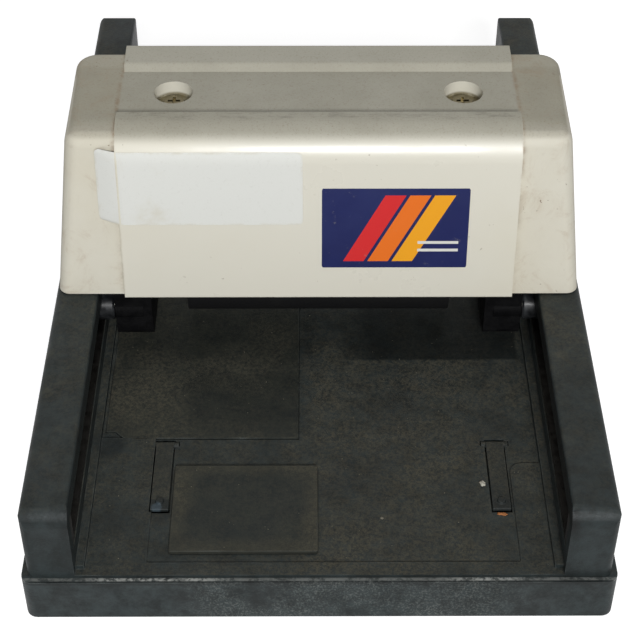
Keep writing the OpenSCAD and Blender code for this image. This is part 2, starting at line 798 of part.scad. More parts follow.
module cradle() {
    color([0.5, 0.51, 0.52]) difference() {
        union() {
            both_sides() across(arm_in, arm_out) arm_side();
            axle(-arm_in - eps, arm_in + eps, cradle_y, cradle_z, tube_d);
        }
        axle(-deep, deep, cradle_y, cradle_z, shaft_d + 2 * run_fit);
        axle(-deep, deep, platen_y, platen_z, bush_d);
    }
}

module cradle_shaft() {
    color([0.68, 0.68, 0.67]) axle(-shaft_end, shaft_end, cradle_y, cradle_z, shaft_d);
}

// Torsion springs round the cradle tube, inside the arms, each with a leg up to the frame plate
module pressure_springs() {
    bore = tube_d + 2 * side_fit;
    x1 = arm_in - side_fit;
    color([0.6, 0.6, 0.6]) both_sides() {
        axle_tube(x1 - spring_l, x1, cradle_y, cradle_z, bore + 2 * coil_d, bore);
        block(x1 - spring_l, x1 - spring_l + coil_d, cradle_y + bore / 2, cradle_y + bore / 2 + coil_d,
              cradle_z, frame_z - side_fit);
    }
}

module axle_tube(x0, x1, y, z, d, bore) {
    difference() {
        axle(x0, x1, y, z, d);
        axle(x0 - eps, x1 + eps, y, z, bore);
    }
}

module roller_bushes() {
    color([0.6, 0.45, 0.2]) both_sides() difference() {
        union() {
            axle(arm_in, clip_x - side_fit, platen_y, platen_z, bush_d);
            axle(arm_out, clip_x - side_fit, platen_y, platen_z, bush_d + 2 * bush_flange);
        }
        axle(arm_in - eps, clip_x, platen_y, platen_z, shaft_d + 2 * run_fit);
    }
}

module platen_sleeve() {
    color([0.1, 0.1, 0.1]) axle_tube(-platen_l / 2, platen_l / 2, platen_y, platen_z, platen_d, core_d);
}

module platen_core() {
    color([0.6, 0.61, 0.62])
        axle_tube(side_fit - arm_in, arm_in - side_fit, platen_y, platen_z, core_d, shaft_d);
}

module platen_shaft() {
    color([0.68, 0.68, 0.67]) axle(-clip_x - 2 * clip_t, clip_x + 2 * clip_t, platen_y, platen_z, shaft_d);
}

module platen_clips() {
    color([0.3, 0.3, 0.3]) both_sides()
        axle_tube(clip_x, clip_x + clip_t, platen_y, platen_z, bush_d + bush_flange, shaft_d);
}

base_pan();
rubber_feet();
case_screws();
deck();
left_track();
right_track();
track_bumpers();
merchant_plate();
card_plate();
left_form_tab();
right_form_tab();
head_shell();
head_screws();
carriage_frame();
left_bracket();
right_bracket();
bracket_screws();
wheel_pins();
left_front_wheel();
left_rear_wheel();
right_front_wheel();
right_rear_wheel();
cradle();
cradle_shaft();
pressure_springs();
roller_bushes();
platen_sleeve();
platen_core();
platen_shaft();
platen_clips();
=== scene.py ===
import json
import math

import bmesh
import bpy
from mathutils import Matrix, Vector
from mathutils.bvhtree import BVHTree


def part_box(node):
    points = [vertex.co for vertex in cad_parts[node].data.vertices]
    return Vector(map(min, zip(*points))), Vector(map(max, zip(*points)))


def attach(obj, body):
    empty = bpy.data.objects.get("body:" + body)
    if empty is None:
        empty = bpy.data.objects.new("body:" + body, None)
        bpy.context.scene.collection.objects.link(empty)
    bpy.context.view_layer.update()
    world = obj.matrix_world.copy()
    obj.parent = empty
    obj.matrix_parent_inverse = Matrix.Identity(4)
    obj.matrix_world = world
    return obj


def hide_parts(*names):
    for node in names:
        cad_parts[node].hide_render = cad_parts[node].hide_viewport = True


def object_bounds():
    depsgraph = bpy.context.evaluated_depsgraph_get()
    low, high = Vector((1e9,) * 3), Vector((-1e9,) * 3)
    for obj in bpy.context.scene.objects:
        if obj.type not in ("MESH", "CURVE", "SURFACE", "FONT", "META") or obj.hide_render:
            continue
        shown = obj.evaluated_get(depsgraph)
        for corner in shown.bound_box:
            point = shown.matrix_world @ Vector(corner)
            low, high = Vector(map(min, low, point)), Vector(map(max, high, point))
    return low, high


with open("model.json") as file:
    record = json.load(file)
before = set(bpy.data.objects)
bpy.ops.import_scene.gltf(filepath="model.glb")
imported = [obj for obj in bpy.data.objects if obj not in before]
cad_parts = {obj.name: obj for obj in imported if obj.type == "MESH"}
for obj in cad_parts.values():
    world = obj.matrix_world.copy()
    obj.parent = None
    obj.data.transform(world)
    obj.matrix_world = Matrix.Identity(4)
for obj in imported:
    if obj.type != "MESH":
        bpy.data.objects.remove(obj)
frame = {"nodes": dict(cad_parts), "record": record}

cadLow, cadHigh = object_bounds()
nodes = frame["nodes"]
print("frame loaded:", len(nodes), "nodes")


def fromSrgb(r, g, b):  # linear colour from 0-255 values as seen on a screen
    def one(c):
        c /= 255
        return c / 12.92 if c <= 0.04045 else ((c + 0.055) / 1.055) ** 2.4
    return (one(r), one(g), one(b), 1)


class Shader:  # a material's node tree with short calls
    def __init__(self, name):
        self.material = bpy.data.materials.new(name)
        self.material.use_nodes = True
        self.tree = self.material.node_tree
        self.tree.nodes.clear()
        self.bsdf = self.add("ShaderNodeBsdfPrincipled")
        out = self.add("ShaderNodeOutputMaterial")
        self.join(self.bsdf.outputs["BSDF"], out.inputs["Surface"])
        self.place = self.add("ShaderNodeTexCoord").outputs["Object"]

    def add(self, kind, **settings):
        made = self.tree.nodes.new(kind)
        for key, value in settings.items():
            setattr(made, key, value)
        return made

    def join(self, a, b):
        self.tree.links.new(a, b)

    def plug(self, value, socket):
        if isinstance(value, bpy.types.NodeSocket):
            self.join(value, socket)
        else:
            socket.default_value = value

    def math(self, operation, a, b, clamp=False):
        made = self.add("ShaderNodeMath", operation=operation, use_clamp=clamp)
        self.plug(a, made.inputs[0])
        self.plug(b, made.inputs[1])
        return made.outputs[0]

    def vector(self, operation, a, b):
        made = self.add("ShaderNodeVectorMath", operation=operation)
        self.plug(a, made.inputs[0])
        self.plug(b, made.inputs[1])
        return made

    def noise(self, scale, detail, rough, distort=0, place=None, output="Fac"):
        made = self.add("ShaderNodeTexNoise")
        for name, number in (("Scale", scale), ("Detail", detail), ("Roughness", rough),
                             ("Distortion", distort)):
            made.inputs[name].default_value = number
        self.join(place or self.place, made.inputs["Vector"])
        return made.outputs[output]

    def ramp(self, value, low, high, a=0, b=1):
        made = self.add("ShaderNodeMapRange", interpolation_type="SMOOTHSTEP")
        self.plug(value, made.inputs["Value"])
        for name, number in (("From Min", low), ("From Max", high), ("To Min", a), ("To Max", b)):
            made.inputs[name].default_value = number
        return made.outputs["Result"]

    # noise made a mask: where it crosses low to high it goes from 0 to 1, or between given ends
    def patches(self, spec, distort=0, place=None):
        scale, detail, rough, low, high, *ends = spec
        return self.ramp(self.noise(scale, detail, rough, distort, place), low, high, *ends)

    def times(self, first, *others):  # masks and numbers multiplied
        for other in others:
            first = self.math("MULTIPLY", first, other)
        return first

    def without(self, value, mask, amount=1):  # the value lowered where the mask is
        return self.math("MULTIPLY", value, self.math("SUBTRACT", 1, self.times(mask, amount)))

    def largest(self, masks):
        found = masks[0]
        for mask in masks[1:]:
            found = self.math("MAXIMUM", found, mask)
        return found

    def mix(self, factor, a, b):
        made = self.add("ShaderNodeMix", data_type="RGBA")
        for value, place in ((factor, 0), (a, 6), (b, 7)):  # factor, then the two colour sockets
            self.plug(value, made.inputs[place])
        return made.outputs[2]

    def tint(self, base, mask, amount, color):  # a colour laid over the base by the mask
        return self.mix(self.math("MULTIPLY", mask, amount), base, color)

    def stretched(self, x, y, z):  # the place with each axis scaled
        return self.vector("MULTIPLY", self.place, (x, y, z)).outputs[0]

    def axis(self, vector, name):
        made = self.add("ShaderNodeSeparateXYZ")
        self.join(vector, made.inputs[0])
        return made.outputs[name]

    def box(self, low, high, blur=0.0004, ragged=0.0, scale=300):  # 1 inside a box in metres
        place = self.place
        if ragged:
            color = self.noise(scale, 4, 0.5, output="Color")
            shift = self.vector("SUBTRACT", color, (0.5, 0.5, 0.5))
            spread = self.vector("MULTIPLY", shift.outputs[0], (ragged, ragged, ragged))
            place = self.vector("ADD", self.place, spread.outputs[0]).outputs[0]
        inside = 1
        for k, name in enumerate("XYZ"):
            if low[k] is None:
                continue
            value = self.axis(place, name)
            inside = self.times(self.ramp(value, low[k] - blur, low[k] + blur),
                                self.ramp(value, high[k] - blur, high[k] + blur, 1, 0), inside)
        return inside

    def disc(self, x, y, radius, blur):  # 1 inside an upright cylinder
        flat = self.stretched(1, 1, 0)
        away = self.vector("DISTANCE", flat, (x, y, 0)).outputs["Value"]
        return self.ramp(away, radius - blur, radius + blur, 1, 0)

    def facing(self, name):  # how far the surface faces along an axis
        return self.axis(self.add("ShaderNodeNewGeometry").outputs["Normal"], name)

    def hollows(self, distance):  # 1 in the open, towards 0 in corners
        made = self.add("ShaderNodeAmbientOcclusion", samples=8, only_local=False)
        made.inputs["Distance"].default_value = distance
        return made.outputs["AO"]

    def edges(self, radius):  # 1 on a sharp outer edge
        soft = self.add("ShaderNodeBevel", samples=4)
        soft.inputs["Radius"].default_value = radius
        normal = self.add("ShaderNodeNewGeometry").outputs["Normal"]
        alike = self.vector("DOT_PRODUCT", soft.outputs[0], normal).outputs["Value"]
        return self.ramp(alike, 0.99, 0.85)

    def grain(self, look):  # a fine surface texture
        self.bump(self.noise(*look["grain"]), look["strength"], look["height"])

    def bump(self, height, strength, distance):
        made = self.add("ShaderNodeBump")
        made.inputs["Strength"].default_value = strength
        made.inputs["Distance"].default_value = distance
        self.plug(height, made.inputs["Height"])
        self.join(made.outputs[0], self.bsdf.inputs["Normal"])

    def set(self, **sockets):
        names = {"color": "Base Color", "rough": "Roughness", "metal": "Metallic",
                 "specular": "Specular IOR Level"}
        for key, value in sockets.items():
            self.plug(value, self.bsdf.inputs[names[key]])
        return self.material


# each finish lists colours, places in metres, noise masks for patches(), then amounts
creamPlastic = {
    "clean": fromSrgb(212, 209, 196), "yellowed": fromSrgb(203, 196, 174),
    "grime": fromSrgb(104, 80, 54), "dusty": fromSrgb(152, 149, 135),
    "handled": fromSrgb(176, 166, 142), "smeared": fromSrgb(158, 132, 104),
    "frayed": fromSrgb(96, 93, 82), "settled": fromSrgb(128, 92, 58),
    "wellFloor": fromSrgb(112, 102, 72),
    "wells": ((-0.0464, 0.0016), (0.0464, 0.0016)), "wellRadius": 0.0064,
    "wellBlur": 0.0002, "pitBlur": 0.0003, "pitHeight": (0.0978, 0.0988),
    "bandSide": 0.0632, "bandSideBlur": 0.0004, "bandEnds": (0.030, 0.060),
    "bandRear": ((-0.0625, -0.0172, 0.1020), (0.0625, -0.0124, 0.1060)), "bandRearBlur": 0.0012,
    "bandLow": 0.047, "stepLow": 0.0885, "stepHigh": 0.1035, "stepWide": 0.0010,
    "stepBlur": 0.0007, "seamWide": 0.0003,
    "ridgeStart": (0.0118, 0.0128), "behindRidge": (0.0150, 0.0175),
    "capFront": (-0.0215, -0.0110), "cornerReach": 0.0035,
    "topFacing": (0.62, 0.88), "ridgeFacing": (0.3, 0.6), "cornerShade": (0.9, 0.5),
    "blotch": (14, 4, 0.6, 0.42, 0.72), "dustCloud": (35, 5, 0.7, 0.2, 0.8, 0.8, 1.0),
    "grit": (1500, 3, 0.8, 0.5, 0.78), "fingers": (48, 5, 0.7, 0.2, 0.75, 0.35, 0.95),
    "smear": (95, 6, 0.78, 0.5, 0.72), "smearDistort": 0.8,
    "fray": (420, 5, 0.8, 0.47, 0.66), "frayStretch": (0.25, 1, 1),
    "cornerSoil": (70, 4, 0.7, 0.35, 0.7), "settledSoil": (150, 5, 0.75, 0.4, 0.72),
    "wellSoil": (420, 4, 0.7, 0.25, 0.6, 0.55, 1), "speck": (620, 2, 0.5, 0.71, 0.75),
    "speckArea": (45, 3, 0.6, 0.48, 0.66), "gloss": (30, 5, 0.65, 0.3, 0.75, 0.225, 0.405),
    "amount": {"yellowed": 0.3, "grit": 0.42, "handled": 0.26, "smeared": 0.3, "frayed": 0.4,
               "corner": 0.5, "settled": 0.6, "speck": 0.7, "capDust": 0.55, "behind": 0.16,
               "leftSeam": 0.45, "rightSeam": 0.2, "topRough": 0.22, "capRough": 0.28,
               "middleRough": 0.02, "endRough": 0.14},
    "grain": (900, 2, 0.6), "strength": 0.05, "height": 0.0002,
}


def makeCream():
    c = creamPlastic
    amount = c["amount"]
    s = Shader("creamPlastic")
    side = s.math("ABSOLUTE", s.axis(s.place, "X"), 0)
    across = s.axis(s.place, "Y")
    base = s.tint(c["clean"], s.patches(c["blotch"]), amount["yellowed"], c["yellowed"])
    onCap = s.ramp(side, c["bandSide"] - c["bandSideBlur"], c["bandSide"] + c["bandSideBlur"])
    top = s.ramp(s.facing("Z"), *c["topFacing"])
    # dust lies thick on the slope of the ridge and thins out towards the front of the caps
    ridge = s.times(s.ramp(across, *c["ridgeStart"]), s.ramp(s.facing("Z"), *c["ridgeFacing"]))
    thin = s.times(onCap, s.ramp(across, *c["capFront"], amount["capDust"], 0))
    dust = s.times(s.math("MAXIMUM", top, ridge), s.patches(c["dustCloud"]))
    behind = s.ramp(across, *c["behindRidge"], 0, amount["behind"])
    base = s.mix(s.without(dust, thin), base, s.mix(behind, c["dusty"], c["clean"]))
    base = s.tint(base, s.times(s.patches(c["grit"]), top), amount["grit"], c["grime"])
    # the end caps are handled most: duller, with brownish finger marks
    base = s.tint(base, s.times(onCap, s.patches(c["fingers"])), amount["handled"], c["handled"])
    smear = s.patches(c["smear"], distort=c["smearDistort"])
    base = s.tint(base, s.times(onCap, smear), amount["smeared"], c["smeared"])
    # a worn, greyish edge where the band meets the channel
    fray = s.patches(c["fray"], place=s.stretched(*c["frayStretch"]))
    fray = s.times(s.box(*c["bandRear"], c["bandRearBlur"]), fray)
    base = s.tint(base, fray, amount["frayed"], c["frayed"])
    inWell = s.largest([s.disc(x, y, c["wellRadius"], c["wellBlur"]) for x, y in c["wells"]])
    corner = s.without(s.ramp(s.hollows(c["cornerReach"]), *c["cornerShade"]), inWell)
    base = s.tint(base, s.times(corner, s.patches(c["cornerSoil"])), amount["corner"], c["grime"])
    # soil that has settled along both ends of the raised band
    for end, seamAmount in ((-1, amount["leftSeam"]), (1, amount["rightSeam"])):
        edge = end * c["bandSide"]
        outer = edge + end * c["stepWide"]
        step = s.box((min(edge, outer) - 0.0001, None, c["stepLow"]),
                     (max(edge, outer), None, c["stepHigh"]), c["stepBlur"])
        seam = s.box((edge - c["seamWide"], None, c["bandLow"]),
                     (edge + c["seamWide"], None, c["stepLow"]), c["seamWide"])
        soil = s.math("ADD", step, s.times(seam, seamAmount), clamp=True)
        soil = s.times(soil, s.patches(c["settledSoil"]))
        base = s.tint(base, soil, amount["settled"], c["settled"])
    for x, y in c["wells"]:
        pit = s.times(s.disc(x, y, c["wellRadius"], c["pitBlur"]),
                      s.ramp(s.axis(s.place, "Z"), *c["pitHeight"], 1, 0), s.patches(c["wellSoil"]))
        base = s.mix(pit, base, c["wellFloor"])
    speck = s.times(s.patches(c["speck"]), s.patches(c["speckArea"]))
    base = s.tint(base, speck, amount["speck"], c["grime"])
    rough = s.math("ADD", s.patches(c["gloss"]), s.times(top, amount["topRough"]), clamp=True)
    rough = s.math("ADD", rough, s.times(onCap, amount["capRough"]), clamp=True)
    ends = s.ramp(side, *c["bandEnds"], amount["middleRough"], amount["endRough"])
    s.grain(c)
    return s.set(color=base, rough=s.math("ADD", rough, ends, clamp=True))


darkPlastic = {
    "deep": fromSrgb(29, 33, 33), "dust": fromSrgb(86, 82, 69),
    "worn": fromSrgb(104, 110, 108), "paintedCreviceShade": fromSrgb(14, 15, 14), "shine": 0.14,
    "topFacing": (0.6, 0.98), "crackReach": 0.0012, "crackShade": (0.75, 0.4),
    "leftSide": (-0.0640, -0.0600), "crackAmount": (0.1, 0.4), "edgeRadius": 0.0007,
    "mottle": (160, 5, 0.75, 0.3, 0.7), "cloud": (30, 7, 0.72, 0.3, 0.72, 0.15, 1.0),
    "cloudDistort": 0.6, "fine": (850, 5, 0.9, 0.40, 0.60, 0.1, 1.15),
    "chipped": (90, 4, 0.7, 0.45, 0.7), "gloss": (60, 4, 0.6, 0.3, 0.7, 0.42, 0.6),
    "dustRough": 0.35, "grainShape": (3, 0.7), "strength": 0.3, "height": 0.0003,
}


def makeDark(name, body, dustAmount, wear, grain, marks):
    c = darkPlastic
    s = Shader(name)
    base = s.mix(s.patches(c["mottle"]), c["deep"], body)
    cloud = s.patches(c["cloud"], distort=c["cloudDistort"])
    top = s.ramp(s.facing("Z"), *c["topFacing"])
    dust = s.times(top, cloud, s.patches(c["fine"]), dustAmount)
    base, dust = marks(s, base, dust)
    base = s.mix(dust, base, c["dust"])
    # painted shade in cracks and gaps, fainter on the left where the light reaches in
    paintedCreviceShade = s.times(s.ramp(s.hollows(c["crackReach"]), *c["crackShade"]),
                    s.ramp(s.axis(s.place, "X"), *c["leftSide"], *c["crackAmount"]))
    base = s.mix(paintedCreviceShade, base, c["paintedCreviceShade"])
    chipped = s.times(s.edges(c["edgeRadius"]), s.patches(c["chipped"]))
    base = s.tint(base, chipped, wear, c["worn"])
    rough = s.math("ADD", s.patches(c["gloss"]), s.times(dust, c["dustRough"]), clamp=True)
    s.bump(s.noise(grain, *c["grainShape"]), c["strength"], c["height"])
    return s.set(color=base, rough=rough, specular=c["shine"])


deckMarks = {
    "greaseAndShade": fromSrgb(17, 18, 18), "paintedShadow": fromSrgb(13, 15, 15), "wiped": fromSrgb(22, 25, 26),
    "paintedNoseHighlight": fromSrgb(98, 106, 110),
    "wallFrom": (0.0715, 0.0721), "wallTo": (0.0728, 0.0760), "wallTop": (0.0446, 0.0440),
    "greaseAndShadeRise": (0.0330, 0.0410), "middle": (-0.01, 0.01),
    "paintedShadows": (  # painted shadow on the parts of the bed under the parked head, which also hold less dust
        {"box": ((0.0020, -0.0340, 0.0170), (0.0675, 0.0500, 0.0195)),
         "blur": 0.0007, "ragged": 0.0018, "amount": 0.8, "fade": (0.0040, 0.0190)},
        {"box": ((-0.0690, -0.0280, 0.0170), (0.0100, 0.0500, 0.0195)),
         "blur": 0.005, "ragged": 0.02, "amount": 0.7, "fade": None},
    ),
    "shadeScale": 50, "bedTop": (0.0200, 0.0215), "railRise": (0.040, 0.044),
    "railRun": (-0.100, -0.030), "railTop": (0.0425, 0.0440), "patchRun": (-0.112, -0.085),
    "nose": ((-0.0835, -0.1262, 0.0415), (0.0835, -0.1232, 0.0446)), "noseBlur": 0.0007,
    "smudges": (  # darker, wiped patches of the bed: x, y, radius, blur, strength
        (-0.0670, -0.0740, 0.0050, 0.0018, 0.9), (-0.0650, -0.1080, 0.0060, 0.0050, 0.55),
        (0.0234, -0.0555, 0.0080, 0.0070, 0.5), (0.0550, -0.0634, 0.0060, 0.0050, 0.45),
        (0.0130, -0.0920, 0.0110, 0.0090, 0.5), (0.0420, -0.1000, 0.0070, 0.0060, 0.35),
    ),
    "smudgeMask": (110, 5, 0.7, 0.3, 0.6, 0.5, 1), "railPatch": (75, 5, 0.72, 0.5, 0.68, 0, 0.3),
    "railDistort": 0.5, "noseMask": (520, 5, 0.85, 0.42, 0.62, 0.1, 1),
    "amount": {"lowGreaseAndShade": 0.25, "highGreaseAndShade": 0.9, "leftGreaseAndShade": 0.6, "paintedShadow": 0.85,
               "railFront": 0.65, "railRear": 0.1, "wiped": 0.5, "paintedNoseHighlight": 0.12},
}


def markDeck(s, base, dust):
    c = deckMarks
    amount = c["amount"]
    x, y, z = (s.axis(s.place, name) for name in "XYZ")
    side = s.math("ABSOLUTE", x, 0)
    # the rail walls inside are darker, partly grease and partly painted shade, most just under the
    # top edge and less on the left wall
    wallGreaseAndShade = s.times(s.ramp(side, *c["wallFrom"]), s.ramp(side, *c["wallTo"], 1, 0),
                     s.ramp(z, *c["wallTop"]),
                     s.ramp(z, *c["greaseAndShadeRise"], amount["lowGreaseAndShade"], amount["highGreaseAndShade"]),
                     s.ramp(x, *c["middle"], amount["leftGreaseAndShade"], 1))
    base = s.mix(wallGreaseAndShade, base, c["greaseAndShade"])
    dust = s.without(dust, wallGreaseAndShade)
    # painted shadow under the parked head: the bed is darkened there and holds less dust
    for spec in c["paintedShadows"]:
        paintedShadow = s.box(*spec["box"], spec["blur"], spec["ragged"], c["shadeScale"])
        paintedShadow = s.times(paintedShadow, spec["amount"])
        if spec["fade"]:
            paintedShadow = s.times(paintedShadow, s.ramp(x, *spec["fade"]))
        dust = s.without(dust, paintedShadow)
        base = s.tint(base, paintedShadow, amount["paintedShadow"], c["paintedShadow"])
    # the rail tops are cleaner towards the front
    front = s.ramp(y, *c["railRun"], amount["railFront"], amount["railRear"])
    dust = s.without(dust, s.times(s.ramp(z, *c["railRise"]), front))
    spots = [s.times(s.disc(atX, atY, radius, blur), strength)
             for atX, atY, radius, blur, strength in c["smudges"]]
    wiped = s.times(s.largest(spots), s.ramp(z, *c["bedTop"], 1, 0), s.patches(c["smudgeMask"]))
    dust = s.without(dust, wiped)
    base = s.tint(base, wiped, amount["wiped"], c["wiped"])
    # patches of dust along the rail tops, and a painted highlight along the rail noses
    patch = s.times(s.ramp(z, *c["railTop"]), s.patches(c["railPatch"], distort=c["railDistort"]),
                    s.ramp(y, *c["patchRun"]))
    base = s.mix(patch, base, darkPlastic["dust"])
    # painted highlight on a narrow band of the rounded rail noses
    nose = s.times(s.box(*c["nose"], c["noseBlur"]), s.patches(c["noseMask"]))
    return s.tint(base, nose, amount["paintedNoseHighlight"], c["paintedNoseHighlight"]), dust


tabMarks = {
    "front": fromSrgb(24, 27, 28), "nub": fromSrgb(70, 82, 90), "frontRun": (-0.0970, -0.0985),
    "nubAt": (-0.0500, -0.1010), "nubRadius": 0.0016, "nubBlur": 0.0004,
    "amount": {"front": 0.35, "nub": 0.6, "clean": 0.75},
}


def markTabs(s, base, dust):
    c = tabMarks
    # fingers keep the front end of each tab free of dust
    front = s.ramp(s.axis(s.place, "Y"), *c["frontRun"])
    base = s.tint(base, front, c["amount"]["front"], c["front"])
    nub = s.disc(*c["nubAt"], c["nubRadius"], c["nubBlur"])
    base = s.tint(base, nub, c["amount"]["nub"], c["nub"])
    return base, s.without(dust, front, c["amount"]["clean"])


plateMarks = {
    "clean": fromSrgb(17, 19, 19), "wiped": fromSrgb(30, 36, 37),
    "rubbed": ((-0.044, -0.068, 0.0170), (-0.004, -0.040, 0.0200), 0.004, 0.016, 40),
    # the card field under the parked head, darkened as painted shadow
    "under": ((-0.069, -0.036, 0.0170), (-0.004, 0.050, 0.0200), 0.007, 0.02, 40),
    "rim": 0.0005, "rimBlur": 0.0002, "wideRim": 0.0045, "rightRim": 0.0035, "rearRim": 0.0030,
    "wipedBlur": 0.0030, "wipedRagged": 0.006, "wipedScale": 90,
    "amount": {"rubbed": 0.8, "under": 0.7, "clean": 0.6, "wiped": 0.35, "lessDust": 0.5,
               "borderDustAndHighlight": 0.14},
}


def markPlates(s, base, dust):
    c = plateMarks
    amount = c["amount"]
    # the lower right of the card field is rubbed clean by cards, and the part under the parked head
    # is darkened as painted shadow; both hold less dust
    rubbedAndShadowed = s.math("MAXIMUM", s.times(s.box(*c["rubbed"]), amount["rubbed"]),
                  s.times(s.box(*c["under"]), amount["under"]))
    base = s.tint(base, rubbedAndShadowed, amount["clean"], c["clean"])
    dust = s.without(dust, rubbedAndShadowed)
    # the merchant plate is wiped in the middle and keeps a lighter border, partly dust and partly a
    # painted highlight along its edges
    low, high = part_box("merchant_plate")
    whole = s.box((low.x - c["rim"], low.y - c["rim"], None),
                  (high.x + c["rim"], high.y + c["rim"], None), c["rimBlur"])
    middle = s.box((low.x + c["wideRim"], low.y + c["wideRim"], None),
                   (high.x - c["rightRim"], high.y - c["rearRim"], None),
                   c["wipedBlur"], c["wipedRagged"], c["wipedScale"])
    middle = s.times(middle, whole)
    border = s.math("SUBTRACT", whole, middle, clamp=True)
    base = s.tint(base, middle, amount["wiped"], c["wiped"])
    dust = s.without(dust, middle, amount["lessDust"])
    return base, s.math("ADD", dust, s.times(border, amount["borderDustAndHighlight"]), clamp=True)


panMarks = {
    "seam": fromSrgb(26, 28, 28), "scuff": fromSrgb(156, 158, 154), "pale": fromSrgb(124, 128, 124),
    "lipHeight": (0.0168, 0.0174), "lipFront": (-0.1286, -0.1283), "lipRear": (-0.1271, -0.1274),
    "seamHeight": (0.0160, 0.0170), "seamRun": (-0.1283, -0.1286),
    "scuffs": ((-0.066, -0.030), (0.040, 0.058)), "scuffBlur": 0.006,
    "panelRun": (-0.1262, -0.1270), "cleanRun": (-0.1258, -0.1266),
    "handled": (-0.040, 0.052), "paleBlur": 0.022,
    "broken": (420, 4, 0.75, 0.40, 0.58), "cloud": (40, 5, 0.7, 0.35, 0.65),
    "speck": (1300, 3, 0.8, 0.46, 0.66),
    "amount": {"seam": 0.55, "run": 0.65, "everywhere": 0.30, "patch": 0.95, "lipWearAndHighlight": 0.10,
               "pale": 0.5},
}


def markPan(s, base, dust):
    c = panMarks
    amount = c["amount"]
    y, z = s.axis(s.place, "Y"), s.axis(s.place, "Z")
    # a pale lip at the front, partly scuffed wear and partly a painted highlight, over a dark seam
    seam = s.times(s.ramp(z, *c["seamHeight"]), s.ramp(y, *c["seamRun"]))
    base = s.tint(base, seam, amount["seam"], c["seam"])
    lipWearAndHighlight = s.times(s.ramp(z, *c["lipHeight"]), s.ramp(y, *c["lipFront"]), s.ramp(y, *c["lipRear"]))
    run = s.largest([s.box((low, None, None), (high, None, None), c["scuffBlur"])
                     for low, high in c["scuffs"]])
    patch = s.math("ADD", s.times(run, amount["run"]), amount["everywhere"])
    patch = s.times(s.patches(c["broken"]), patch, amount["patch"])
    base = s.mix(s.times(lipWearAndHighlight, s.math("ADD", patch, amount["lipWearAndHighlight"])), base, c["scuff"])
    dust = s.without(dust, s.ramp(y, *c["cleanRun"]))
    # pale speckled patches in the middle of the front panel
    low, high = c["handled"]
    pale = s.times(s.box((low, None, None), (high, None, None), c["paleBlur"]),
                   s.patches(c["cloud"]), s.patches(c["speck"]), s.ramp(y, *c["panelRun"]))
    return s.tint(base, pale, amount["pale"], c["pale"]), dust


metalLook = {
    "stain": fromSrgb(70, 62, 50), "soiled": 0.45, "rough": 0.35, "scratch": 0.3,
    "soil": (120, 5, 0.7, 0.5, 0.75), "wobble": (300, 3, 0.6, 0.3, 0.7),
    "smoother": 0.08, "rougher": 0.15, "grain": (1800, 2, 0.5), "height": 0.0001,
}


def makeMetal(name, color, rough=metalLook["rough"], scratch=metalLook["scratch"],
              stain=metalLook["stain"], soiled=metalLook["soiled"]):
    c = metalLook
    s = Shader(name)
    base = s.tint(color, s.patches(c["soil"]), soiled, stain)
    wobble = s.patches((*c["wobble"], rough - c["smoother"], rough + c["rougher"]))
    s.bump(s.noise(*c["grain"]), scratch, c["height"])
    return s.set(color=base, rough=wobble, metal=1.0)


rubberLook = {
    "bloom": (90, 5, 0.7, 0.4, 0.8), "bloomAmount": 0.5, "rough": 0.7,
    "grain": (1500, 3, 0.7), "strength": 0.3, "height": 0.0002,
}


def makeRubber(name, color, bloomed, shine):
    c = rubberLook
    s = Shader(name)
    base = s.tint(color, s.patches(c["bloom"]), c["bloomAmount"], bloomed)
    s.grain(c)
    return s.set(color=base, rough=c["rough"], specular=shine)


def makeBlack(name, spec):  # two blacks in patches that also differ in roughness
    s = Shader(name)
    mask = s.patches(spec["mask"])
    base = s.mix(mask, spec["dark"], spec["light"])
    s.grain(spec)
    return s.set(color=base, rough=s.ramp(mask, 0, 1, *spec["rough"]), specular=spec["shine"])


sootBlack = {
    "dark": fromSrgb(6, 6, 7), "light": fromSrgb(15, 15, 16), "mask": (210, 4, 0.7, 0.35, 0.7),
    "grain": (1100, 3, 0.7), "strength": 0.4, "height": 0.0003, "rough": (0.6, 0.8), "shine": 0.08,
}
glossBlack = {
    "dark": fromSrgb(16, 17, 19), "light": fromSrgb(44, 46, 48), "mask": (400, 4, 0.6, 0.35, 0.75),
    "grain": (1200, 2, 0.5), "strength": 0.1, "height": 0.0001, "rough": (0.3, 0.55), "shine": 0.35,
}
darkKinds = {  # slot: name, body colour, dust, wear, grain scale, marks
    "pan_plastic": ("panPlastic", fromSrgb(50, 57, 58), 0.3, 0.5, 900, markPan),
    "deck_plastic": ("deckPlastic", fromSrgb(43, 50, 51), 0.6, 0.4, 1400, markDeck),
    # the plates wear lighter at their edges, partly real wear and partly a painted highlight
    "plate_plastic": ("platePlastic", fromSrgb(44, 47, 43), 0.55, 0.6, 1600, markPlates),
    "tab_plastic": ("tabPlastic", fromSrgb(42, 46, 45), 0.6, 0.4, 1600, markTabs),
}
finishes = {slot: makeDark(*kind) for slot, kind in darkKinds.items()}
finishes.update({
    "bracket_plastic": makeBlack("sideBlockBlack", sootBlack),
    "head_plastic": makeCream(),
    "wheel_plastic": makeBlack("wheelBlack", glossBlack),
    "rubber": makeRubber("bumperRubber", fromSrgb(28, 28, 28), fromSrgb(72, 70, 66), 0.3),
    "platen_rubber": makeRubber("platenRubber", fromSrgb(17, 17, 18), fromSrgb(30, 30, 29), 0.14),
    "steel": makeMetal("plainSteel", fromSrgb(168, 166, 160)),
    "zinc": makeMetal("zincPlate", fromSrgb(186, 182, 168), 0.28),
    "frame_metal": makeMetal("pressedSteel", fromSrgb(150, 151, 150), 0.42),
    "core_metal": makeMetal("turnedCore", fromSrgb(176, 178, 180), 0.3),
    "bronze": makeMetal("bronzeBush", fromSrgb(150, 112, 60), 0.35),
})
slotOf = {part["node"]: part["material_slot"] for part in frame["record"]["subparts"]}
bodies = frame["record"]["behaviour"]["bodies"]
bodyOf = {node: body for body, held in bodies.items() for node in held}
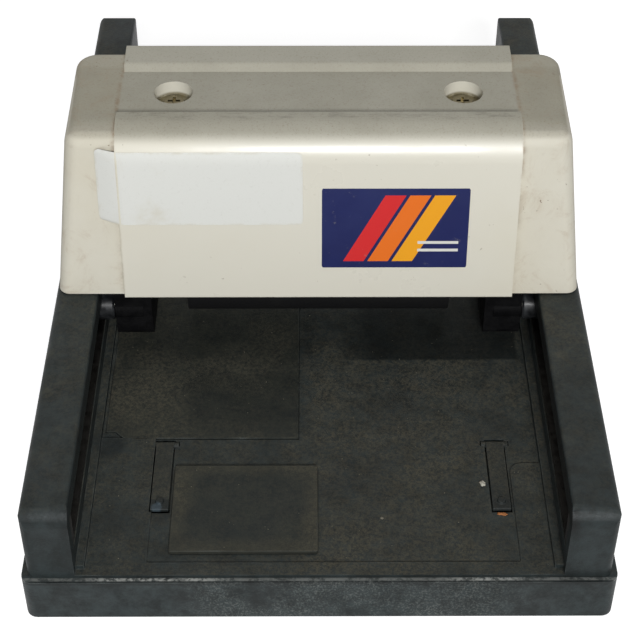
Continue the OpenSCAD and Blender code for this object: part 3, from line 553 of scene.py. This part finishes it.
for name, thing in nodes.items():
    thing.data.materials.clear()
    thing.data.materials.append(finishes[slotOf[name]])
trackSteel = makeMetal("oiledTrack", fromSrgb(46, 45, 43), 0.5, 0.4, fromSrgb(15, 15, 14), 0.9)
for name in ("left_track", "right_track"):
    nodes[name].data.materials[0] = trackSteel
screwSteel = makeMetal("soiledScrew", fromSrgb(112, 104, 82), 0.34, 0.4, fromSrgb(58, 50, 34), 0.85)
nodes["head_screws"].data.materials[0] = screwSteel
print("finishes:", len(finishes) + 2)


softened = {  # width of the rounding on each moulded piece, in metres
    "head_shell": {"piece": "headShell", "width": 0.00045, "segments": 3},
    "deck": {"piece": "deckMoulding", "width": 0.00040, "segments": 2},
    "base_pan": {"piece": "panMoulding", "width": 0.00050, "segments": 2},
    "merchant_plate": {"piece": "merchantPlate", "width": 0.00030, "segments": 2},
    "card_plate": {"piece": "cardPlate", "width": 0.00018, "segments": 2},
    "left_form_tab": {"piece": "leftTab", "width": 0.00022, "segments": 2},
    "right_form_tab": {"piece": "rightTab", "width": 0.00022, "segments": 2},
    "left_bracket": {"piece": "leftSideBlock", "width": 0.00050, "segments": 2, "sole": 0.0024},
    "right_bracket": {"piece": "rightSideBlock", "width": 0.00050, "segments": 2, "sole": 0.0024},
}
softening = {  # lengths in metres, turns in degrees
    "weld": 3e-6, "flatTurn": 0.5, "soleReach": 0.0001, "longEdge": 0.02, "soleSegments": 5,
    "soleWeld": 3e-5, "soleTurn": 57, "edgeTurn": 32, "edgeWeld": 1e-6, "sharpTurn": 34,
    "flatWeight": 90,
}


def addObject(name, mesh):
    made = bpy.data.objects.new(name, mesh)
    bpy.context.scene.collection.objects.link(made)
    return made


def bakeModifiers(piece):
    bpy.context.view_layer.update()
    ready = piece.evaluated_get(bpy.context.evaluated_depsgraph_get())
    done = bpy.data.meshes.new_from_object(ready)
    old = piece.data
    piece.modifiers.clear()
    piece.data = done
    bpy.data.meshes.remove(old)


def finishShape(shape, mesh):
    shape.to_mesh(mesh)
    shape.free()


def roundSole(shape, sole):  # the long lower edges are rounded off more
    c = softening
    floor = min(v.co.z for v in shape.verts) + c["soleReach"]
    lowEdges = [e for e in shape.edges if max(v.co.z for v in e.verts) < floor]
    longEdges = [e for e in lowEdges if abs(e.verts[0].co.y - e.verts[1].co.y) > c["longEdge"]
                 and e.calc_face_angle(0) > math.radians(c["soleTurn"])]
    bmesh.ops.bevel(shape, geom=longEdges, offset=sole, segments=c["soleSegments"], profile=0.5,
                    affect="EDGES", clamp_overlap=True)
    bmesh.ops.remove_doubles(shape, verts=shape.verts, dist=c["soleWeld"])
    bmesh.ops.dissolve_degenerate(shape, edges=shape.edges, dist=c["soleWeld"])


def softenNode(node, piece, width, segments, sole=0):
    c = softening
    mesh = nodes[node].data.copy()
    mesh.name = piece
    shape = bmesh.new()
    shape.from_mesh(mesh)
    bmesh.ops.remove_doubles(shape, verts=shape.verts, dist=c["weld"])
    bmesh.ops.dissolve_limit(shape, angle_limit=math.radians(c["flatTurn"]), verts=shape.verts,
                             edges=shape.edges)
    bmesh.ops.dissolve_degenerate(shape, edges=shape.edges, dist=c["weld"])
    if sole:
        roundSole(shape, sole)
    finishShape(shape, mesh)
    made = addObject(piece, mesh)
    edge = made.modifiers.new("softEdge", "BEVEL")
    edge.width = width
    edge.segments = segments
    edge.limit_method = "ANGLE"
    edge.angle_limit = math.radians(c["edgeTurn"])
    edge.miter_outer = "MITER_ARC"
    bakeModifiers(made)
    shape = bmesh.new()  # the bevel can leave two corners in one place
    shape.from_mesh(made.data)
    bmesh.ops.remove_doubles(shape, verts=shape.verts, dist=c["edgeWeld"])
    finishShape(shape, made.data)
    made.data.shade_smooth()
    made.data.set_sharp_from_angle(angle=math.radians(c["sharpTurn"]))
    even = made.modifiers.new("flatFaces", "WEIGHTED_NORMAL")
    even.keep_sharp = True
    even.weight = c["flatWeight"]
    bakeModifiers(made)
    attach(made, bodyOf[node])
    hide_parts(node)


for node, spec in softened.items():
    softenNode(node, **spec)
print("softened mouldings:", len(softened))


paperLabel = {
    "left": -0.0697, "right": -0.0050, "low": 0.0735, "high": 0.0985, "corner": 0.0014,
    "thick": 0.00012, "columns": 84, "rows": 30,
    # it bridges the step from the end cap to the band
    "bridgeTo": -0.0618, "capTop": 0.0960, "bridgeFall": 0.93, "bridgeCurve": 1.3,
    "paper": fromSrgb(217, 218, 213), "aged": fromSrgb(196, 189, 168),
    "rubbed": fromSrgb(186, 184, 176), "rim": 0.0005,
    "stain": (55, 5, 0.65, 0.5, 0.78), "dirt": (160, 4, 0.7, 0.4, 0.7, 0.0, 0.5),
    "rub": (900, 3, 0.7, 0.55, 0.8), "stainAmount": 0.5, "rubAmount": 0.25,
    "grain": (700, 4, 0.6), "strength": 0.2, "height": 0.0001, "rough": 0.62, "shine": 0.3,
}
stripeDecal = {
    "left": 0.0010, "right": 0.0476, "low": 0.0577, "high": 0.0864, "corner": 0.0003,
    "thick": 0.00007, "columns": 40, "rows": 26, "bridgeTo": None,
    "field": fromSrgb(24, 31, 80), "fieldPale": fromSrgb(30, 38, 86),
    "white": fromSrgb(214, 214, 208), "scuffed": fromSrgb(150, 146, 138),
    "stripes": (fromSrgb(206, 44, 46), fromSrgb(226, 112, 34), fromSrgb(233, 160, 34)),
    "slant": 0.55, "stripeWidth": 0.0066, "stripeStep": 0.0078, "firstStripe": 0.0055,
    "sideMargin": 0.0022, "lowMargin": 0.0024, "printBlur": 0.00008,
    "lineFrom": 0.0306, "lineMargin": 0.0030, "lines": (0.0060, 0.0088), "lineHeight": 0.0010,
    "cloud": (60, 4, 0.6, 0.35, 0.7), "scuff": (260, 5, 0.75, 0.62, 0.74), "scuffAmount": 0.4,
    "gloss": (80, 4, 0.6, 0.3, 0.7, 0.3, 0.48), "shine": 0.2,
    "grain": (500, 3, 0.6), "strength": 0.05, "height": 0.0001,
}
sheetGap, sheetSharp = 0.00003, 40  # metres of glue behind a sheet, degrees at its edge
headMesh = nodes["head_shell"].data
headTree = BVHTree.FromPolygons([v.co for v in headMesh.vertices],
                                [f.vertices[:] for f in headMesh.polygons])


def onFront(x, z):  # the front surface of the head, and which way it faces
    return headTree.ray_cast(Vector((x, cadLow[1], z)), Vector((0, 1, 0)))[:2]


def stickSheet(name, c):
    mesh = bpy.data.meshes.new(name)
    shape = bmesh.new()
    columns, rows = c["columns"], c["rows"]
    grid = []
    for j in range(rows + 1):
        v = 0.5 - 0.5 * math.cos(math.pi * j / rows)
        z = c["low"] + (c["high"] - c["low"]) * (0.5 * v + 0.5 * j / rows)
        near = min(z - c["low"], c["high"] - z, c["corner"])
        inset = c["corner"] - math.sqrt(max(c["corner"] ** 2 - (c["corner"] - near) ** 2, 0))
        left, right = c["left"] + inset, c["right"] - inset
        line = []
        for i in range(columns + 1):
            x = left + (right - left) * i / columns
            hit, normal = onFront(x, z)
            if c["bridgeTo"] is not None and x < c["bridgeTo"]:
                start = onFront(left, min(z, c["capTop"]))[0].y
                end = onFront(c["bridgeTo"], z)[0].y
                along = (c["bridgeTo"] - x) / (c["bridgeTo"] - left)
                fall = (start - end) * c["bridgeFall"] * along ** c["bridgeCurve"]
                hit = Vector((x, end + fall, z))
                normal = onFront(c["bridgeTo"], z)[1]
            line.append(shape.verts.new(hit + normal * sheetGap))
        grid.append(line)
    for j in range(rows):
        for i in range(columns):
            shape.faces.new((grid[j][i], grid[j][i + 1], grid[j + 1][i + 1], grid[j + 1][i]))
    bmesh.ops.recalc_face_normals(shape, faces=shape.faces)
    if sum(f.normal.y for f in shape.faces) > 0:
        bmesh.ops.reverse_faces(shape, faces=shape.faces)
    finishShape(shape, mesh)
    made = addObject(name, mesh)
    wall = made.modifiers.new("paperThickness", "SOLIDIFY")
    wall.thickness = c["thick"]
    wall.offset = 1
    bakeModifiers(made)
    made.data.shade_smooth()
    made.data.set_sharp_from_angle(angle=math.radians(sheetSharp))
    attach(made, "carriage")
    return made


def makePaper():
    c = paperLabel
    s = Shader("agedPaper")
    rim = c["rim"]
    inner = s.box((c["left"] + rim, None, c["low"] + rim),
                  (c["right"] - rim, None, c["high"] - rim))
    base = s.tint(c["paper"], s.patches(c["stain"]), c["stainAmount"], c["aged"])
    dirty = s.times(s.math("SUBTRACT", 1, inner), s.patches(c["dirt"]))
    base = s.mix(dirty, base, c["aged"])
    base = s.tint(base, s.patches(c["rub"]), c["rubAmount"], c["rubbed"])
    s.grain(c)
    return s.set(color=base, rough=c["rough"], specular=c["shine"])


def makeStripes():
    c = stripeDecal
    s = Shader("stripePrint")
    x, z = s.axis(s.place, "X"), s.axis(s.place, "Z")
    blur, width = c["printBlur"], c["stripeWidth"]
    slanted = s.math("SUBTRACT", x, s.times(s.math("SUBTRACT", z, c["low"]), c["slant"]))
    base = s.mix(s.patches(c["cloud"]), c["field"], c["fieldPale"])
    inner = s.box((c["left"] + c["sideMargin"], None, c["low"] + c["lowMargin"]),
                  (c["right"] - c["sideMargin"], None, c["high"] - c["lowMargin"]), blur)
    for k, color in enumerate(c["stripes"]):
        begin = c["left"] + c["firstStripe"] + k * c["stripeStep"]
        end = begin + width
        stripe = s.times(s.ramp(slanted, begin - blur, begin + blur),
                         s.ramp(slanted, end - blur, end + blur, 1, 0), inner)
        base = s.mix(stripe, base, color)
    lines = [s.box((c["left"] + c["lineFrom"], None, c["low"] + up),
                   (c["right"] - c["lineMargin"], None, c["low"] + up + c["lineHeight"]), blur)
             for up in c["lines"]]
    base = s.mix(s.largest(lines), base, c["white"])
    base = s.tint(base, s.patches(c["scuff"]), c["scuffAmount"], c["scuffed"])
    s.grain(c)
    return s.set(color=base, rough=s.patches(c["gloss"]), specular=c["shine"])


stickSheet("paperLabel", paperLabel).data.materials.append(makePaper())
stickSheet("stripeDecal", stripeDecal).data.materials.append(makeStripes())
print("label and decal: 2")


crumbs = {
    "count": 240, "smallest": 0.00005, "largest": 0.00017, "seed": 11,
    "squash": (1.3, 0.9, 0.6), "turnLow": (-0.5, -0.5, 0), "turnHigh": (0.5, 0.5, 6.28),
    "light": fromSrgb(126, 121, 106), "dark": fromSrgb(82, 78, 68),
}
cardLow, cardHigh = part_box("card_plate")
plateLow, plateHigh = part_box("merchant_plate")
bedHeight, recessHeight = 0.0188, 0.0181
crumbAreas = [  # x0, x1, y0, y1, z of each level surface, in metres
    (cardLow.x + 0.003, cardHigh.x - 0.001, cardLow.y + 0.006, cardHigh.y - 0.001, cardHigh.z),
    (plateLow.x + 0.001, plateHigh.x - 0.001, plateLow.y + 0.001, plateHigh.y - 0.001,
     plateHigh.z),
    (plateHigh.x + 0.001, 0.0515, -0.121, -0.072, recessHeight),
    (-0.0690, -0.0535, -0.121, -0.072, bedHeight),
    (0.0610, 0.0690, -0.124, -0.084, bedHeight),
    (cardHigh.x + 0.001, 0.0680, -0.070, 0.010, recessHeight),
]


def makeCrumbTree():
    tree = bpy.data.node_groups.new("crumbScatter", "GeometryNodeTree")
    tree.interface.new_socket("Surface", in_out="INPUT", socket_type="NodeSocketGeometry")
    sockets = {}
    for label, kind in (("Density", "NodeSocketFloat"), ("Smallest", "NodeSocketFloat"),
                        ("Largest", "NodeSocketFloat"), ("Seed", "NodeSocketInt"),
                        ("Material", "NodeSocketMaterial")):
        made = tree.interface.new_socket(label, in_out="INPUT", socket_type=kind)
        sockets[label] = made.identifier
    tree.interface.new_socket("Crumbs", in_out="OUTPUT", socket_type="NodeSocketGeometry")
    add, join = tree.nodes.new, tree.links.new
    given, out = add("NodeGroupInput"), add("NodeGroupOutput")
    spread = add("GeometryNodeDistributePointsOnFaces")
    join(given.outputs["Surface"], spread.inputs["Mesh"])
    join(given.outputs["Density"], spread.inputs["Density"])
    join(given.outputs["Seed"], spread.inputs["Seed"])
    lump = add("GeometryNodeMeshIcoSphere")
    lump.inputs["Radius"].default_value = 1
    lump.inputs["Subdivisions"].default_value = 1
    size = add("FunctionNodeRandomValue")
    size.data_type = "FLOAT"
    join(given.outputs["Smallest"], size.inputs[2])
    join(given.outputs["Largest"], size.inputs[3])
    join(given.outputs["Seed"], size.inputs["Seed"])
    flat = add("ShaderNodeVectorMath")
    flat.operation = "SCALE"
    flat.inputs[0].default_value = crumbs["squash"]
    join(size.outputs[1], flat.inputs["Scale"])
    turn = add("FunctionNodeRandomValue")
    turn.data_type = "FLOAT_VECTOR"
    turn.inputs[0].default_value = crumbs["turnLow"]
    turn.inputs[1].default_value = crumbs["turnHigh"]
    join(given.outputs["Seed"], turn.inputs["Seed"])
    place = add("GeometryNodeInstanceOnPoints")
    join(spread.outputs["Points"], place.inputs["Points"])
    join(lump.outputs["Mesh"], place.inputs["Instance"])
    join(turn.outputs[0], place.inputs["Rotation"])
    join(flat.outputs[0], place.inputs["Scale"])
    real = add("GeometryNodeRealizeInstances")
    paint = add("GeometryNodeSetMaterial")
    join(place.outputs[0], real.inputs[0])
    join(real.outputs[0], paint.inputs["Geometry"])
    join(given.outputs["Material"], paint.inputs["Material"])
    join(paint.outputs[0], out.inputs[0])
    return tree, sockets


lintLook = {
    "mask": (240, 2, 0.5, 0.35, 0.65), "grain": (4000, 2, 0.5), "strength": 0.3, "height": 0.0001,
    "rough": 0.9, "shine": 0.1,
}


def makeLint(name, light, dark):
    s = Shader(name)
    s.grain(lintLook)
    return s.set(color=s.mix(s.patches(lintLook["mask"]), dark, light), rough=lintLook["rough"],
                 specular=lintLook["shine"])


def scatterCrumbs():
    mesh = bpy.data.meshes.new("bedCrumbs")
    shape = bmesh.new()
    area = 0
    for x0, x1, y0, y1, z in crumbAreas:
        corners = ((x0, y0, z), (x1, y0, z), (x1, y1, z), (x0, y1, z))
        shape.faces.new([shape.verts.new(p) for p in corners])
        area += (x1 - x0) * (y1 - y0)
    finishShape(shape, mesh)
    made = addObject("bedCrumbs", mesh)
    tree, sockets = makeCrumbTree()
    scatter = made.modifiers.new("scatter", "NODES")
    scatter.node_group = tree
    values = {"Density": crumbs["count"] / area, "Smallest": crumbs["smallest"],
              "Largest": crumbs["largest"], "Seed": crumbs["seed"],
              "Material": makeLint("dustCrumb", crumbs["light"], crumbs["dark"])}
    for label, value in values.items():
        scatter[sockets[label]] = value
    bakeModifiers(made)
    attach(made, "base")


chips = [  # loose flakes on the bed: centre, half sizes, turn in degrees, colours
    {"name": "paleChip", "at": (0.0510, -0.0905, recessHeight), "half": (0.0008, 0.0011, 0.0004),
     "turn": 20, "light": fromSrgb(196, 194, 182), "dark": fromSrgb(140, 136, 122)},
    {"name": "rustChip", "at": (0.0560, -0.1031, recessHeight), "half": (0.0015, 0.0005, 0.0004),
     "turn": -8, "light": fromSrgb(176, 118, 74), "dark": fromSrgb(118, 74, 46)},
    {"name": "smallChip", "at": (0.0191, -0.1046, recessHeight), "half": (0.0004, 0.0005, 0.0002),
     "turn": 50, "light": fromSrgb(150, 150, 138), "dark": fromSrgb(110, 106, 94)},
]
chipShape = {  # depth and waves of the broad and the fine unevenness, flat underside
    "broad": 0.22, "broadWaves": (5.1, 4.3), "broadStart": 2.3,
    "fine": 0.14, "fineWaves": (6, 9.7), "flatBelow": 0.35,
}


def makeChip(c):
    mesh = bpy.data.meshes.new(c["name"])
    shape = bmesh.new()
    bmesh.ops.create_icosphere(shape, subdivisions=3, radius=1)
    turn = Matrix.Rotation(math.radians(c["turn"]), 3, "Z")
    half = Vector(c["half"])
    look = chipShape
    under = look["flatBelow"]
    (broadX, broadY), (fineX, fineZ) = look["broadWaves"], look["fineWaves"]
    for v in shape.verts:
        p = v.co.copy()
        broad = look["broad"] * math.sin(broadX * p.x + look["broadStart"]) * math.cos(broadY * p.y)
        fine = look["fine"] * math.sin(fineZ * p.z + fineX * p.x)
        flat = Vector((p.x * half.x, p.y * half.y, max(p.z, -under) * half.z)) * (1 + broad + fine)
        v.co = turn @ flat + Vector(c["at"]) + Vector((0, 0, under * half.z))
        v.co.z = max(v.co.z, c["at"][2])
    finishShape(shape, mesh)
    made = addObject(c["name"], mesh)
    made.data.shade_smooth()
    made.data.materials.append(makeLint(c["name"] + "Finish", c["light"], c["dark"]))
    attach(made, "base")


scatterCrumbs()
for chip in chips:
    makeChip(chip)
print("dust and chips:", 1 + len(chips))


stageLook = {  # the floor glows white to the camera, more so from glowNear to glowFar metres away
    "floorSize": 6.0, "floorAlbedo": 0.55, "whiteGlow": 0.8, "glowNear": 0.35, "glowFar": 1.6,
    "ambient": 0.1,
}


def whereWhite(tree, seen):  # camera, mirror and see-through rays meet the white background
    total = seen.outputs["Is Camera Ray"]
    for name in ("Is Glossy Ray", "Is Transmission Ray"):
        larger = tree.nodes.new("ShaderNodeMath")
        larger.operation = "MAXIMUM"
        tree.links.new(total, larger.inputs[0])
        tree.links.new(seen.outputs[name], larger.inputs[1])
        total = larger.outputs[0]
    return total


def makeStage():
    mesh = bpy.data.meshes.new("floor")
    half = stageLook["floorSize"] / 2
    corners = [(-half, -half, 0), (half, -half, 0), (half, half, 0), (-half, half, 0)]
    mesh.from_pydata(corners, [], [(0, 1, 2, 3)])
    floor = addObject("floor", mesh)
    material = bpy.data.materials.new("floorWhite")
    material.use_nodes = True
    tree = material.node_tree
    tree.nodes.clear()
    out = tree.nodes.new("ShaderNodeOutputMaterial")
    plain = tree.nodes.new("ShaderNodeBsdfDiffuse")
    albedo = stageLook["floorAlbedo"]
    plain.inputs["Color"].default_value = (albedo, albedo, albedo, 1)
    glow = tree.nodes.new("ShaderNodeEmission")
    total = tree.nodes.new("ShaderNodeAddShader")
    seen = tree.nodes.new("ShaderNodeLightPath")
    strength = tree.nodes.new("ShaderNodeMath")
    strength.operation = "MULTIPLY"
    place = tree.nodes.new("ShaderNodeTexCoord")
    away = tree.nodes.new("ShaderNodeVectorMath")
    away.operation = "LENGTH"
    glowRamp = tree.nodes.new("ShaderNodeMapRange")
    for name, number in (("From Min", stageLook["glowNear"]), ("From Max", stageLook["glowFar"]),
                         ("To Min", stageLook["whiteGlow"]), ("To Max", 1)):
        glowRamp.inputs[name].default_value = number
    tree.links.new(place.outputs["Object"], away.inputs[0])
    tree.links.new(away.outputs["Value"], glowRamp.inputs["Value"])
    tree.links.new(glowRamp.outputs["Result"], strength.inputs[1])
    tree.links.new(whereWhite(tree, seen), strength.inputs[0])
    tree.links.new(strength.outputs[0], glow.inputs["Strength"])
    tree.links.new(plain.outputs[0], total.inputs[0])
    tree.links.new(glow.outputs[0], total.inputs[1])
    tree.links.new(total.outputs[0], out.inputs["Surface"])
    mesh.materials.append(material)


lampSet = {
    "key": {"at": (0.12, -1.43, 0.88), "aim": (0, 0, 0.06), "size": 0.3, "power": 22.5,
            "mirrored": True},
    "sky": {"at": (0.0, 0.05, 1.6), "aim": (0, 0, 0.05), "size": 0.9, "power": 4.1,
            "mirrored": True},
    "rear": {"at": (-0.35, 1.6, 0.35), "aim": (0, 0, 0.05), "size": 1.2, "power": 4.5,
             "mirrored": False},
}


def makeLamps():
    for name, lamp in lampSet.items():
        light = bpy.data.lights.new(name, "AREA")
        light.size = lamp["size"]
        light.energy = lamp["power"]
        thing = bpy.data.objects.new(name, light)
        thing.visible_camera = False
        thing.visible_glossy = lamp["mirrored"]
        at = Vector(lamp["at"])
        thing.location = at
        thing.rotation_euler = (Vector(lamp["aim"]) - at).to_track_quat("-Z", "Y").to_euler()
        bpy.context.scene.collection.objects.link(thing)
    world = bpy.data.worlds.new("studio")
    bpy.context.scene.world = world
    world.use_nodes = True
    tree = world.node_tree
    tree.nodes.clear()
    out = tree.nodes.new("ShaderNodeOutputWorld")
    soft = tree.nodes.new("ShaderNodeBackground")
    soft.inputs["Strength"].default_value = stageLook["ambient"]
    white = tree.nodes.new("ShaderNodeBackground")
    white.inputs["Color"].default_value = (1, 1, 1, 1)
    choose = tree.nodes.new("ShaderNodeMixShader")
    seen = tree.nodes.new("ShaderNodeLightPath")
    whiteSeen = whereWhite(tree, seen)
    tree.links.new(whiteSeen, choose.inputs["Fac"])
    tree.links.new(soft.outputs[0], choose.inputs[1])
    tree.links.new(white.outputs[0], choose.inputs[2])
    tree.links.new(choose.outputs[0], out.inputs["Surface"])


photoCamera = {
    "at": (-0.00228, -0.42933, 0.38960), "pitch": 41.784, "yaw": 0.400, "roll": 0.182,
    "focalInPixels": 1602.05, "frameInPixels": 640, "sensorWidth": 36, "clipStart": 0.02,
}


def makeCamera():
    c = photoCamera
    data = bpy.data.cameras.new("photoCamera")
    data.sensor_width = c["sensorWidth"]
    data.lens = c["focalInPixels"] / c["frameInPixels"] * data.sensor_width
    data.clip_start = c["clipStart"]
    camera = bpy.data.objects.new("photoCamera", data)
    turn = (Matrix.Rotation(math.radians(-c["yaw"]), 4, "Z")
            @ Matrix.Rotation(math.radians(90 - c["pitch"]), 4, "X")
            @ Matrix.Rotation(math.radians(c["roll"]), 4, "Z"))
    camera.matrix_world = Matrix.Translation(c["at"]) @ turn
    bpy.context.scene.collection.objects.link(camera)
    bpy.context.scene.camera = camera


makeStage()
makeLamps()
makeCamera()
bpy.context.scene.view_settings.view_transform = "Standard"
print("stage, lamps and camera set")
